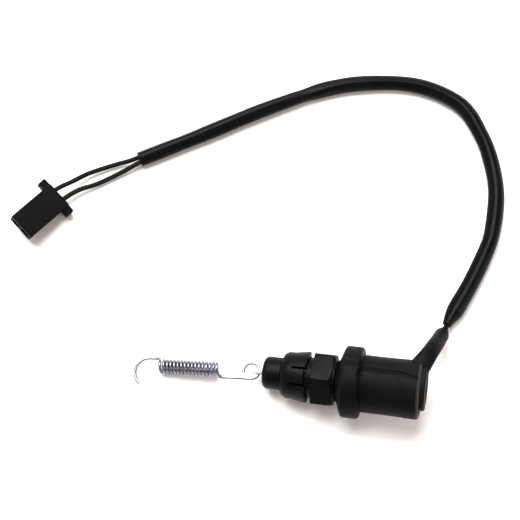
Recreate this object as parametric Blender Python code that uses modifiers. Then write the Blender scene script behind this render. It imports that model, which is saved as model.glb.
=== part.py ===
"""Pull-type brake light switch with its adjuster nut, pull spring, lead and connector.

Metres, +Z up. The switch lies on Z = 0 on its collar and its nut, with its nose towards -X
and a little lower than its rear. Stations (s) count from the nose face along its axis.
"""

import math

import bmesh
import bpy
from mathutils import Matrix, Vector

# driving dimensions
COLLAR_R = 0.0128
GAP = 0.0003
FACETS = 32
SMALL_FACETS = 24
EDGE = 0.0004

# threaded barrel and chamber
BARREL_R = 0.0060
NOSE_ROUND = 0.0018
BORE_R = 0.0016
SEAL_SEAT_R = 0.0031
SEAL_SEAT_END = 0.0018
SPRING_BORE_R = 0.0038
SPRING_BORE_START = 0.0090
CHAMBER_START = 0.0304
CHAMBER_END = 0.0450
CHAMBER_R = 0.0086
CHAMBER_BORE_R = 0.0073
CHAMBER_FLOOR = 0.0320

# plunger
ROD_R = 0.00125
ROD_END = 0.0410
PADDLE_LENGTH = 0.0040
PADDLE_END = -0.0006
PADDLE_THICKNESS = 0.0020
PADDLE_HEIGHT = 0.0034
EYE_S = -0.0020
EYE_R = 0.00105
SEAT_START = 0.0244
SEAT_THICKNESS = 0.0008
RETURN_WIRE_R = 0.0003
RETURN_COIL_R = 0.0026
RETURN_START = 0.0094
RETURN_TURNS = 7

# contacts
CARRIER_START = 0.0380
CARRIER_END = 0.0422
CARRIER_R = 0.0042
GROOVE_R = 0.0033
RING_START = 0.0397
RING_THICKNESS = 0.0006
RING_R = 0.0050
BLADE_THICKNESS = 0.0006
BLADE_WIDTH = 0.0026
BLADE_R = 0.0059
BLADE_TIP_R = 0.00545
BLADE_TIP_S = 0.0334
BLADE_TAIL_S = 0.0496
BLADE_STEP_S = 0.0364
BLADE_STEP = 0.0012
BASE_START = 0.0426
BASE_END = 0.0468

# adjuster nut
NUT_START = 0.0075
NUT_BORE_R = 0.0070
NUT_CORE_R = 0.0074
NUT_RING_R = 0.0085
NUT_CONE = 0.0014
RING_STEP = 0.00005
FINGER_ROOT = 0.0110
FINGER_UNDER_R = 0.0077
FINGER_PEAK_S = 0.0163
FINGER_PEAK_R = 0.0094
FINGER_END = 0.0168
FINGER_BARB = 0.0005
TAB_END = 0.0160
TAB_HALF_ANGLE = math.radians(20)
SLOT_WIDTH = 0.0011
HEX_START = 0.0189
HEX_END = 0.0264
HEX_FLATS = 0.0182
HEX_CHAMFER = 0.0007
BOSS_END = 0.0270
BOSS_R = 0.0078
NUT_OVERLAP = 0.0010
NUT_TURN = math.radians(192)
THREAD_R = 0.0063
THREAD_OUTER_R = 0.0067
THREAD_INSET = 0.0005
CUT_DEPTH = 0.0030
CUT_LENGTH = 0.0080

# rubber boot
LIP_START = 0.0276
LIP_R = 0.0076
COLLAR_START = 0.0296
COLLAR_END = 0.0360
COLLAR_ROUND = 0.0008
BOOT_R = 0.0105
BOOT_END = 0.0575
BOOT_ROUND = 0.0010
BOOT_BORE_R = 0.0092
BOOT_FLOOR = 0.0558
CAP_R = 0.0086
CAP_END = 0.0593
CAP_RISE = 0.0008
CAP_SHIFT = 0.0012

# the switch's pose: its collar's front edge and the nut's front ring touch Z = 0
PITCH = math.radians(11.3)
NOSE_Z = (
    (COLLAR_R - COLLAR_ROUND) * math.cos(PITCH)
    + COLLAR_ROUND
    - (COLLAR_START + COLLAR_ROUND) * math.sin(PITCH)
)
EYE_Z = NOSE_Z + EYE_S * math.sin(PITCH)

# pull spring, in its own frame: X away from the switch, from the eye in the plunger
WIRE_R = 0.000575
LOOP_R = 0.0029
COIL_R = 0.00228
COIL_START = 0.0154
COIL_TURNS = 16
COIL_PITCH = 0.00134
COIL_LEAD = 0.0020
HOOK_R = 0.0053
HOOK_X = 0.0413
HOOK_Y = 0.00245
HOOK_TIP_ANGLE = math.radians(233)
LOOP_TIP_ANGLE = math.radians(200)
COIL_END = COIL_START + (COIL_TURNS + 1 / 6) * COIL_PITCH
SPRING_YAW = math.radians(5.2)
SPRING_SLOPE = math.asin((EYE_Z - COIL_R - WIRE_R) / (COIL_END + WIRE_R))
SPRING_COS = math.cos(SPRING_SLOPE) * math.cos(SPRING_YAW)
HOOK_REACH = (
    HOOK_X * SPRING_COS
    - HOOK_Y * math.sin(SPRING_YAW)
    + HOOK_R * math.hypot(SPRING_COS, math.sin(SPRING_YAW))
    + WIRE_R
)

# the frame's origin is under the middle of the switch and its spring
FRONT_X = EYE_S * math.cos(PITCH) - HOOK_REACH
REAR_X = CAP_END * math.cos(PITCH) + (CAP_R - EDGE - CAP_RISE) * math.sin(PITCH)
NOSE_X = -(FRONT_X + REAR_X) / 2

# lead: X from the nose, Y, height
SLEEVE_R = 0.0031
LEAD_WIRE_R = 0.00095
TAIL_ROOT_R = 0.0031
TAIL_END_R = 0.0025
TAIL_HOLE_LENGTH = 0.0120
TAIL_ROUTE = (
    (0.05099, 0.0036, 0.01986),
    (0.05415, 0.0084, 0.02125),
    (0.0566, 0.0120, 0.0222),
    (0.0584, 0.0159, 0.0187),
    (0.0607, 0.0202, 0.0132),
    (0.0629, 0.0243, 0.0082),
    (0.0641, 0.0267, 0.0054),
    (0.0646, 0.0280, 0.0048),
)
SLEEVE_ROUTE = (
    (0.0651, 0.0292, 0.0041),
    (0.0662, 0.0320, 0.0035),
    (0.0678, 0.0355, 0.0032),
    (0.0724, 0.0466, 0.0032),
    (0.0766, 0.0591, 0.0032),
    (0.0788, 0.0689, 0.0032),
    (0.0790, 0.0843, 0.0032),
    (0.0762, 0.0969, 0.0032),
    (0.0709, 0.1090, 0.0032),
    (0.0612, 0.1212, 0.0032),
    (0.0448, 0.1268, 0.0032),
    (0.0267, 0.1257, 0.0032),
    (0.0079, 0.1202, 0.0032),
    (-0.0155, 0.1075, 0.0032),
    (-0.0413, 0.0907, 0.0032),
    (-0.0625, 0.0773, 0.0032),
)
WIRE_A_ROUTE = (
    (-0.06340, 0.07797, 0.00310),
    (-0.06640, 0.07630, 0.00260),
    (-0.07213, 0.07383, 0.00200),
    (-0.08128, 0.06852, 0.00260),
    (-0.08688, 0.06320, 0.00440),
    (-0.09150, 0.05893, 0.00594),
    (-0.09412, 0.05497, 0.00660),
)
WIRE_B_ROUTE = (
    (-0.06228, 0.07620, 0.00310),
    (-0.06580, 0.07340, 0.00250),
    (-0.06951, 0.07056, 0.00200),
    (-0.07728, 0.06483, 0.00200),
    (-0.08357, 0.06086, 0.00300),
    (-0.08795, 0.05631, 0.00430),
    (-0.09058, 0.05235, 0.00497),
)
TAIL_SPACING = 0.0026
SLEEVE_SPACING = 0.0085
WIRE_SPACING = 0.0032
INNER_SPACING = 0.0015
INNER_WIRE_R = 0.0008

# inner wires: station, distance across, height above the axis
INNER_WIRE_START = BLADE_TAIL_S + 2 * GAP
INNER_UPPER_ROUTE = (
    (INNER_WIRE_START, 0, BLADE_R),
    (0.0507, 0.0002, 0.0059),
    (0.0512, 0.0011, 0.0052),
    (0.0512, 0.0022, 0.0042),
)
INNER_LOWER_ROUTE = (
    (INNER_WIRE_START, 0, -BLADE_R),
    (0.0508, 0, -0.0050),
    (0.0512, 0.0008, -0.0010),
    (0.0512, 0.0024, 0.0010),
)

# connector, from the middle of its wire end, X towards its mouths; it lies on one ear's
# corner and its own lower edge, its mouths a little raised by the wires
CONNECTOR_X = -0.09060
CONNECTOR_Y = 0.05630
CONNECTOR_Z = 0.00534
CONNECTOR_ROLL = math.radians(-20.6)
CONNECTOR_TILT = math.radians(-8.0)
CONNECTOR_TURN = math.radians(-123.5)
CONNECTOR_LENGTH = 0.0197
CONNECTOR_WIDTH = 0.0108
CONNECTOR_HEIGHT = 0.0074
CONNECTOR_EDGE = 0.0003
EAR_LENGTH = 0.0031
EAR_SPAN = 0.0168
EAR_HEIGHT = 0.0052
POLE_PITCH = 0.0047
MOUTH_WIDTH = 0.0036
MOUTH_HEIGHT = 0.0030
MOUTH_START = 0.0040
WIRE_HOLE_R = 0.00125
TERMINAL_START = 0.0046
TERMINAL_END = 0.0183

COLOURS = {
    "black_plastic": ((0.022, 0.023, 0.024), 0.42, 0.0),
    "black_rubber": ((0.018, 0.018, 0.018), 0.60, 0.0),
    "sleeve_pvc": ((0.012, 0.014, 0.013), 0.28, 0.0),
    "wire_insulation": ((0.014, 0.018, 0.015), 0.35, 0.0),
    "connector_plastic": ((0.020, 0.020, 0.019), 0.50, 0.0),
    "white_acetal": ((0.74, 0.72, 0.76), 0.40, 0.0),
    "zinc_steel": ((0.72, 0.73, 0.75), 0.25, 1.0),
    "spring_steel": ((0.50, 0.51, 0.53), 0.35, 1.0),
    "brass": ((0.75, 0.60, 0.30), 0.30, 1.0),
    "phenolic": ((0.15, 0.07, 0.03), 0.50, 0.0),
}


def clear_scene():
    for obj in list(bpy.data.objects):
        bpy.data.objects.remove(obj, do_unlink=True)


def collection(name):
    made = bpy.data.collections.new(name)
    bpy.context.scene.collection.children.link(made)
    return made


def material(slot):
    found = bpy.data.materials.get(slot)
    if found:
        return found
    colour, roughness, metallic = COLOURS[slot]
    made = bpy.data.materials.new(slot)
    made.use_nodes = True
    shader = made.node_tree.nodes["Principled BSDF"]
    shader.inputs["Base Color"].default_value = (*colour, 1.0)
    shader.inputs["Roughness"].default_value = roughness
    shader.inputs["Metallic"].default_value = metallic
    return made


def empty(name, parent=None, location=(0, 0, 0), rotation=(0, 0, 0)):
    made = bpy.data.objects.new(name, None)
    made.parent = parent
    made.location = location
    made.rotation_euler = rotation
    PARTS.objects.link(made)
    return made


def add(name, data, slot, parent):
    """A sub-part with its own material, in the parts' collection."""
    made = bpy.data.objects.new(name, data)
    data.materials.append(material(slot))
    made.parent = parent
    PARTS.objects.link(made)
    return made


def hide_cutter(obj, parent=None):
    if parent:
        obj.parent = parent
    CUTTERS.objects.link(obj)
    obj.hide_render = True
    obj.display_type = "WIRE"
    return obj


def arc(centre, radius, start, end, count):
    """Points on an arc in the station and radius plane, angles in degrees."""
    angles = [math.radians(start + (end - start) * i / count) for i in range(count + 1)]
    return [(centre[0] + radius * math.cos(a), centre[1] + radius * math.sin(a)) for a in angles]


def turned_mesh(name, outline):
    """Outline of (station, radius) points as edges. It is closed unless it ends on the axis."""
    area = sum(
        a[1] * b[0] - b[1] * a[0] for a, b in zip(outline, outline[1:] + outline[:1])
    )
    points = outline if area < 0 else outline[::-1]
    closed = points[0][1] > 0 or points[-1][1] > 0
    verts = [(radius, 0, station) for station, radius in points]
    edges = [(i, i + 1) for i in range(len(points) - 1)]
    if closed:
        edges.append((len(points) - 1, 0))
    mesh = bpy.data.meshes.new(name)
    mesh.from_pydata(verts, edges, [])
    return mesh


def add_screw(obj, steps):
    screw = obj.modifiers.new("turn", "SCREW")
    screw.axis = "Z"
    screw.steps = steps
    screw.render_steps = steps
    screw.use_merge_vertices = True
    screw.merge_threshold = 0.00001
    screw.use_smooth_shade = True


def turned(name, outline, slot, parent, steps=FACETS):
    made = add(name, turned_mesh(name, outline), slot, parent)
    add_screw(made, steps)
    return made


def ring(name, stations, radii, slot, parent):
    """A ring between two stations and two radii."""
    (start, end), (inner, outer) = stations, radii
    outline = [(start, inner), (start, outer), (end, outer), (end, inner)]
    return turned(name, outline, slot, parent, SMALL_FACETS)


def turned_cutter(name, outline, parent, steps=FACETS):
    made = hide_cutter(bpy.data.objects.new(name, turned_mesh(name, outline)), parent)
    add_screw(made, steps)
    return made


def box_mesh(name, size, centre):
    mesh = bpy.data.meshes.new(name)
    cube = bmesh.new()
    bmesh.ops.create_cube(cube, size=1.0)
    for vertex in cube.verts:
        vertex.co = Vector(v * s + c for v, s, c in zip(vertex.co, size, centre))
    cube.to_mesh(mesh)
    cube.free()
    return mesh


def cylinder_mesh(name, radius, length, segments=16):
    """A round bar from the origin along +Z."""
    mesh = bpy.data.meshes.new(name)
    bar = bmesh.new()
    bmesh.ops.create_cone(
        bar, cap_ends=True, segments=segments, radius1=radius, radius2=radius, depth=length
    )
    bmesh.ops.translate(bar, verts=bar.verts, vec=(0, 0, length / 2))
    bar.to_mesh(mesh)
    bar.free()
    return mesh


def cutter(name, mesh, parent, location=(0, 0, 0), rotation=(0, 0, 0)):
    made = hide_cutter(bpy.data.objects.new(name, mesh), parent)
    made.location = location
    made.rotation_euler = rotation
    return made


def boolean(obj, other, operation):
    step = obj.modifiers.new(other.name, "BOOLEAN")
    step.operation = operation
    step.solver = "EXACT"
    step.object = other


def bevel(obj, width, segments=2):
    edge = obj.modifiers.new("edges", "BEVEL")
    edge.width = width
    edge.segments = segments
    edge.limit_method = "ANGLE"
    edge.angle_limit = math.radians(40)


def tube(name, points, radius, slot, parent, radii=None):
    """A round bar along the points, with closed ends."""
    curve = bpy.data.curves.new(name, "CURVE")
    curve.dimensions = "3D"
    curve.bevel_depth = radius
    curve.bevel_resolution = 2
    curve.use_fill_caps = True
    spline = curve.splines.new("POLY")
    spline.points.add(len(points) - 1)
    for i, point in enumerate(points):
        spline.points[i].co = (*point, 1.0)
        spline.points[i].radius = radii[i] / radius if radii else 1.0
    return add(name, curve, slot, parent)


def plate(name, outline, thickness, slot, parent, rotation):
    """A flat outline in the object's XY plane, half its thickness to each side."""
    curve = bpy.data.curves.new(name, "CURVE")
    curve.dimensions = "2D"
    curve.fill_mode = "BOTH"
    curve.extrude = thickness / 2
    spline = curve.splines.new("POLY")
    spline.points.add(len(outline) - 1)
    for i, (x, y) in enumerate(outline):
        spline.points[i].co = (x, y, 0, 1.0)
    spline.use_cyclic_u = True
    made = add(name, curve, slot, parent)
    made.rotation_euler = rotation
    return made


def hermite(start, start_slope, end, end_slope, t):
    """Cubic between two points with the given slopes."""
    a = 2 * t**3 - 3 * t**2 + 1
    b = t**3 - 2 * t**2 + t
    c = -2 * t**3 + 3 * t**2
    d = t**3 - t**2
    return start * a + start_slope * b + end * c + end_slope * d


def smooth_route(route, spacing):
    """Evenly spaced points on a smooth curve through the route's own points."""
    knots = [Vector(p) for p in route]
    knots = [2 * knots[0] - knots[1]] + knots + [2 * knots[-1] - knots[-2]]
    dense = []
    for before, start, end, after in zip(knots, knots[1:], knots[2:], knots[3:]):
        for i in range(24):
            dense.append(hermite(start, (end - before) / 2, end, (after - start) / 2, i / 24))
    dense.append(knots[-2])
    total = sum((b - a).length for a, b in zip(dense, dense[1:]))
    count = max(2, round(total / spacing))
    points = [dense[0]]
    walked = 0.0
    for a, b in zip(dense, dense[1:]):
        walked += (b - a).length
        if walked >= len(points) * total / count and len(points) < count:
            points.append(b)
    points.append(dense[-1])
    return points


def on_switch(station, across, height):
    """A point beside the switch's axis, with X from the nose."""
    x = station * math.cos(PITCH) - height * math.sin(PITCH)
    z = NOSE_Z + station * math.sin(PITCH) + height * math.cos(PITCH)
    return (x, across, z)


def in_frame(points):
    """X from the nose to the frame's X."""
    return [Vector((p[0] + NOSE_X, p[1], p[2])) for p in points]


def build_housing(axis):
    nose = arc((NOSE_ROUND, BARREL_R - NOSE_ROUND), NOSE_ROUND, 180, 90, 5)
    outline = [(0, SEAL_SEAT_R)] + nose + [
        (CHAMBER_START, BARREL_R),
        (CHAMBER_START, CHAMBER_R),
        (CHAMBER_END, CHAMBER_R),
        (CHAMBER_END, CHAMBER_BORE_R),
        (CHAMBER_FLOOR, CHAMBER_BORE_R),
        (CHAMBER_FLOOR, SPRING_BORE_R),
        (SPRING_BORE_START, SPRING_BORE_R),
        (SPRING_BORE_START, BORE_R),
        (SEAL_SEAT_END, BORE_R),
        (SEAL_SEAT_END, SEAL_SEAT_R),
    ]
    turned("switch_housing", outline, "black_plastic", axis)
    stations = (GAP, SEAL_SEAT_END - GAP)
    ring("plunger_seal", stations, (ROD_R + GAP, SEAL_SEAT_R - GAP), "black_rubber", axis)


def build_plunger(axis):
    """The rod, flattened at its tip, with the spring's eye across it."""
    outline = [(ROD_END, 0), (ROD_END, ROD_R), (PADDLE_END - GAP, ROD_R), (PADDLE_END - GAP, 0)]
    rod = turned("plunger_rod", outline, "white_acetal", axis, 16)
    size = (PADDLE_HEIGHT, PADDLE_THICKNESS, PADDLE_LENGTH)
    paddle = cutter(
        "paddle", box_mesh("paddle", size, (0, 0, PADDLE_END - PADDLE_LENGTH / 2)), axis
    )
    bevel(paddle, EDGE)
    boolean(rod, paddle, "UNION")
    eye = cutter(
        "eye",
        cylinder_mesh("eye", EYE_R, 4 * PADDLE_THICKNESS),
        axis,
        (0, 2 * PADDLE_THICKNESS, EYE_S),
        (math.radians(90), 0, 0),
    )
    boolean(rod, eye, "DIFFERENCE")
    stations = (SEAT_START, SEAT_START + SEAT_THICKNESS)
    ring("spring_seat", stations, (ROD_R + GAP, SPRING_BORE_R - GAP), "spring_steel", axis)


def build_return_spring(axis):
    length = SEAT_START - GAP - RETURN_WIRE_R - RETURN_START
    steps = 10 * RETURN_TURNS
    points = []
    for i in range(steps + 1):
        angle = 2 * math.pi * RETURN_TURNS * i / steps
        station = RETURN_START + length * i / steps
        points.append((RETURN_COIL_R * math.cos(angle), RETURN_COIL_R * math.sin(angle), station))
    tube("return_spring", points, RETURN_WIRE_R, "spring_steel", axis)


def build_contacts(axis):
    """Insulating carrier on the rod, the ring that bridges the blades, and the blades' base."""
    ring_end = RING_START + RING_THICKNESS
    carrier = [
        (CARRIER_END, 0),
        (CARRIER_END, CARRIER_R),
        (ring_end + GAP, CARRIER_R),
        (ring_end + GAP, GROOVE_R),
        (RING_START - GAP, GROOVE_R),
        (RING_START - GAP, CARRIER_R),
        (CARRIER_START, CARRIER_R),
        (CARRIER_START, ROD_R + GAP),
        (ROD_END + GAP, ROD_R + GAP),
        (ROD_END + GAP, 0),
    ]
    turned("contact_carrier", carrier, "phenolic", axis, SMALL_FACETS)
    ring("contact_ring", (RING_START, ring_end), (GROOVE_R + GAP, RING_R), "brass", axis)
    flange = CHAMBER_END + GAP
    plug = CHAMBER_BORE_R - GAP
    outline = [
        (BASE_END, 0),
        (BASE_END, CHAMBER_R),
        (flange, CHAMBER_R),
        (flange, plug),
        (BASE_START, plug),
        (BASE_START, 0),
    ]
    base = turned("terminal_base", outline, "phenolic", axis, SMALL_FACETS)
    along = Matrix(((0, 1, 0), (0, 0, 1), (1, 0, 0))).to_euler()
    slot_size = (BLADE_THICKNESS + 2 * GAP, BLADE_WIDTH + 2 * GAP, 0.02)
    for name, side in (("upper", -1), ("lower", 1)):
        path = [
            (BLADE_TIP_S, BLADE_TIP_R),
            (BLADE_STEP_S, BLADE_TIP_R),
            (BLADE_STEP_S + BLADE_STEP, BLADE_R),
            (BLADE_TAIL_S, BLADE_R),
        ]
        half = BLADE_THICKNESS / 2
        edge = [(s, side * (r + half)) for s, r in path]
        edge += [(s, side * (r - half)) for s, r in reversed(path)]
        plate(f"terminal_blade_{name}", edge, BLADE_WIDTH, "brass", axis, along)
        centre = (side * BLADE_R, 0, BASE_END)
        slot = cutter(f"blade_slot_{name}", box_mesh(f"blade_slot_{name}", slot_size, centre), axis)
        boolean(base, slot, "DIFFERENCE")


def build_nut(axis):
    """Front ring with six cantilevered snap fingers, thin core, hexagon and rear boss."""
    frame = empty("nut_axis", axis, rotation=(0, 0, NUT_TURN))
    outline = [
        (NUT_START, NUT_BORE_R),
        (NUT_START, NUT_CORE_R + GAP),
        (NUT_START + NUT_CONE, NUT_RING_R),
        (FINGER_ROOT, NUT_RING_R + RING_STEP),
        (FINGER_PEAK_S, FINGER_PEAK_R),
        (FINGER_END, FINGER_PEAK_R - FINGER_BARB),
        (FINGER_END, FINGER_UNDER_R),
        (FINGER_ROOT, FINGER_UNDER_R),
        (FINGER_ROOT, NUT_CORE_R),
        (HEX_START + NUT_OVERLAP, NUT_CORE_R),
        (HEX_START + NUT_OVERLAP, NUT_BORE_R),
    ]
    nut = turned("adjuster_nut", outline, "black_plastic", frame, 48)
    cut_x = (NUT_CORE_R + FINGER_UNDER_R + CUT_DEPTH) / 2
    tab_size = (CUT_DEPTH, 2 * FINGER_PEAK_R * math.sin(TAB_HALF_ANGLE), CUT_LENGTH)
    slot_size = (CUT_DEPTH, SLOT_WIDTH, CUT_LENGTH)
    tab_at = (cut_x, 0, TAB_END + CUT_LENGTH / 2)
    slot_at = (cut_x, 0, FINGER_ROOT + GAP + CUT_LENGTH / 2)
    for i in range(3):
        turn = math.radians(120) * i
        cuts = [
            (f"tab_cut_{i}", tab_size, tab_at, turn),
            (f"slot_cut_{i}_a", slot_size, slot_at, turn - TAB_HALF_ANGLE),
            (f"slot_cut_{i}_b", slot_size, slot_at, turn + TAB_HALF_ANGLE),
        ]
        for name, size, at, spin in cuts:
            cut = cutter(name, box_mesh(name, size, at), frame, (0, 0, 0), (0, 0, spin))
            boolean(nut, cut, "DIFFERENCE")
    corner_r = HEX_FLATS / math.sqrt(3)
    hexagon = [
        (HEX_START, NUT_BORE_R / 2),
        (HEX_START, corner_r),
        (HEX_END, corner_r),
        (HEX_END, NUT_BORE_R / 2),
    ]
    lathe = [
        (HEX_START, NUT_BORE_R),
        (HEX_START, corner_r - HEX_CHAMFER / 2),
        (HEX_START + HEX_CHAMFER / 2, corner_r + GAP),
        (HEX_END - 2 * HEX_CHAMFER, corner_r + GAP),
        (HEX_END, HEX_FLATS / 2),
        (HEX_END, BOSS_R),
        (BOSS_END, BOSS_R),
        (BOSS_END, NUT_BORE_R),
    ]
    boss_outline = [
        (HEX_END - NUT_OVERLAP, NUT_BORE_R),
        (HEX_END - NUT_OVERLAP, BOSS_R),
        (BOSS_END, BOSS_R),
        (BOSS_END, NUT_BORE_R),
    ]
    hex_part = turned_cutter("hexagon", hexagon, frame, 6)
    boolean(hex_part, turned_cutter("hex_chamfer", lathe, frame, 48), "INTERSECT")
    boolean(nut, hex_part, "UNION")
    boolean(nut, turned_cutter("boss", boss_outline, frame, 48), "UNION")
    stations = (NUT_START + THREAD_INSET, BOSS_END - THREAD_INSET)
    ring("nut_thread", stations, (THREAD_R, THREAD_OUTER_R), "black_plastic", frame)


def build_boot(axis):
    """Cup over the chamber, with a thick collar at its mouth and a hole for the tail."""
    collar_front = arc(
        (COLLAR_START + COLLAR_ROUND, COLLAR_R - COLLAR_ROUND), COLLAR_ROUND, 160, 90, 3
    )
    collar_back = arc(
        (COLLAR_END - COLLAR_ROUND, COLLAR_R - COLLAR_ROUND), COLLAR_ROUND, 90, 0, 3
    )
    rear = arc((BOOT_END - BOOT_ROUND, BOOT_R - BOOT_ROUND), BOOT_ROUND, 90, 0, 3)
    hole_r = BARREL_R + GAP
    outline = [(BOOT_END, 0)] + rear[::-1] + [(COLLAR_END, BOOT_R)] + collar_back[::-1]
    outline += collar_front[::-1] + [
        (LIP_START, LIP_R),
        (LIP_START, hole_r),
        (CHAMBER_START - GAP, hole_r),
        (CHAMBER_START - GAP, BOOT_BORE_R),
        (BOOT_FLOOR, BOOT_BORE_R),
        (BOOT_FLOOR, 0),
    ]
    boot = turned("rubber_boot", outline, "black_rubber", axis)
    root = Vector(TAIL_ROUTE[0])
    heading = (Vector(TAIL_ROUTE[2]) - root).normalized()
    mesh = cylinder_mesh("tail_hole", TAIL_ROOT_R + 2 * GAP, TAIL_HOLE_LENGTH, SMALL_FACETS)
    hole = cutter("tail_hole", mesh, None, in_frame([root - heading * 2 * GAP])[0])
    hole.rotation_euler = heading.to_track_quat("Z", "Y").to_euler()
    boolean(boot, hole, "DIFFERENCE")
    start = BOOT_END + GAP
    cap = [
        (CAP_END, 0),
        (CAP_END, CAP_R - EDGE),
        (CAP_END - EDGE, CAP_R),
        (start, CAP_R),
        (start, 0),
    ]
    made = turned("boot_end_cap", cap, "black_rubber", axis)
    made.location = (-CAP_RISE, CAP_SHIFT, 0)
    boolean(made, hole, "DIFFERENCE")


def build_pull_spring():
    """One wire in three stretches: loop and arm, close-wound coil, arm and open hook."""
    eye = in_frame([on_switch(EYE_S, 0, 0)])[0]
    frame = empty("spring_frame", None, eye, (0, SPRING_SLOPE, math.pi + SPRING_YAW))
    loop = []
    for i in range(21):
        angle = LOOP_TIP_ANGLE - (LOOP_TIP_ANGLE + math.pi / 2) * i / 20
        loop.append(Vector((LOOP_R - LOOP_R * math.cos(angle), -LOOP_R * math.sin(angle), 0)))

    def coil_point(turns):
        angle = 2 * math.pi * turns
        station = COIL_START + COIL_PITCH * (turns - 1 / 6)
        return Vector((station, COIL_R * math.cos(angle), COIL_R * math.sin(angle)))

    def coil_slope(turns):
        angle = 2 * math.pi * turns
        around = 2 * math.pi * COIL_R
        slope = Vector((COIL_PITCH, -around * math.sin(angle), around * math.cos(angle)))
        return slope.normalized()

    first = 1 / 6
    last = COIL_TURNS + 1 / 3
    reach = 2 * COIL_LEAD
    arm_end = Vector((COIL_START - COIL_LEAD, LOOP_R, 0))
    ahead = Vector((reach, 0, 0))
    for i in range(6):
        t = 0.92 * i / 5
        loop.append(hermite(arm_end, ahead, coil_point(first), coil_slope(first) * reach, t))
    tube("spring_near_loop", loop, WIRE_R, "zinc_steel", frame)
    steps = round(10 * (last - first))
    coil = [coil_point(first + (last - first) * i / steps) for i in range(steps + 1)]
    tube("spring_coil", coil, WIRE_R, "zinc_steel", frame)
    hook_start = Vector((coil_point(last).x + COIL_LEAD, HOOK_Y - HOOK_R, 0))
    hook = []
    for i in range(6):
        t = 0.08 + 0.92 * i / 5
        hook.append(hermite(coil_point(last), coil_slope(last) * reach, hook_start, ahead, t))
    for i in range(17):
        angle = math.pi / 2 + (HOOK_TIP_ANGLE - math.pi / 2) * i / 16
        x = HOOK_X - HOOK_R * math.cos(angle)
        y = HOOK_Y - HOOK_R * math.sin(angle)
        hook.append(Vector((x, y, 0)))
    tube("spring_far_hook", hook, WIRE_R, "zinc_steel", frame)


def build_lead():
    tail = in_frame(smooth_route(TAIL_ROUTE, TAIL_SPACING))
    last = len(tail) - 1
    radii = [TAIL_ROOT_R + (TAIL_END_R - TAIL_ROOT_R) * i / last for i in range(len(tail))]
    tube("cable_tail", tail, TAIL_ROOT_R, "black_rubber", None, radii)
    sleeve = in_frame(smooth_route(SLEEVE_ROUTE, SLEEVE_SPACING))
    tube("pvc_sleeve", sleeve, SLEEVE_R, "sleeve_pvc", None)
    for name, route in (("a", WIRE_A_ROUTE), ("b", WIRE_B_ROUTE)):
        points = in_frame(smooth_route(route, WIRE_SPACING))
        tube(f"lead_wire_{name}", points, LEAD_WIRE_R, "wire_insulation", None)
    for name, route in (("upper", INNER_UPPER_ROUTE), ("lower", INNER_LOWER_ROUTE)):
        beside = [on_switch(*point) for point in route]
        points = in_frame(smooth_route(beside, INNER_SPACING))
        tube(f"inner_wire_{name}", points, INNER_WIRE_R, "wire_insulation", None)


def build_connector():
    place = (CONNECTOR_X + NOSE_X, CONNECTOR_Y, CONNECTOR_Z)
    turns = (CONNECTOR_ROLL, CONNECTOR_TILT, CONNECTOR_TURN)
    frame = empty("connector_frame", None, place, turns)
    size = (CONNECTOR_LENGTH, CONNECTOR_WIDTH, CONNECTOR_HEIGHT)
    body = box_mesh("connector_housing", size, (CONNECTOR_LENGTH / 2, 0, 0))
    housing = add("connector_housing", body, "connector_plastic", frame)
    bevel(housing, CONNECTOR_EDGE, 1)
    ear_size = (EAR_LENGTH, EAR_SPAN, EAR_HEIGHT)
    ears = cutter("ears", box_mesh("ears", ear_size, (EAR_LENGTH / 2, 0, 0)), frame)
    bevel(ears, CONNECTOR_EDGE, 1)
    boolean(housing, ears, "UNION")
    mouth_length = 2 * (CONNECTOR_LENGTH - MOUTH_START)
    mouth_size = (mouth_length, MOUTH_WIDTH, MOUTH_HEIGHT)
    terminal_size = (TERMINAL_END - TERMINAL_START, MOUTH_WIDTH - 2 * GAP, MOUTH_HEIGHT - 2 * GAP)
    for name, side in (("a", 1), ("b", -1)):
        y = -side * POLE_PITCH / 2
        at = (MOUTH_START + mouth_length / 2, y, 0)
        mouth = cutter(f"mouth_{name}", box_mesh(f"mouth_{name}", mouth_size, at), frame)
        boolean(housing, mouth, "DIFFERENCE")
        hole = cutter(
            f"wire_hole_{name}",
            cylinder_mesh(f"wire_hole_{name}", WIRE_HOLE_R, 2 * MOUTH_START),
            frame,
            (-MOUTH_START / 2, y, 0),
            (0, math.radians(90), 0),
        )
        boolean(housing, hole, "DIFFERENCE")
        at = ((TERMINAL_START + TERMINAL_END) / 2, y, 0)
        block = box_mesh(f"connector_terminal_{name}", terminal_size, at)
        add(f"connector_terminal_{name}", block, "brass", frame)


clear_scene()
PARTS = collection("pull_switch")
CUTTERS = collection("cutters")
switch_axis = empty("switch_axis", None, (NOSE_X, 0, NOSE_Z), (0, math.pi / 2 - PITCH, 0))
build_housing(switch_axis)
build_plunger(switch_axis)
build_return_spring(switch_axis)
build_contacts(switch_axis)
build_nut(switch_axis)
build_boot(switch_axis)
build_pull_spring()
build_lead()
build_connector()
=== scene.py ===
"""Pull-type brake light switch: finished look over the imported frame, metres, +Z up."""

import math

import bmesh
import bpy
from mathutils import Euler, Matrix, Vector


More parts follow.
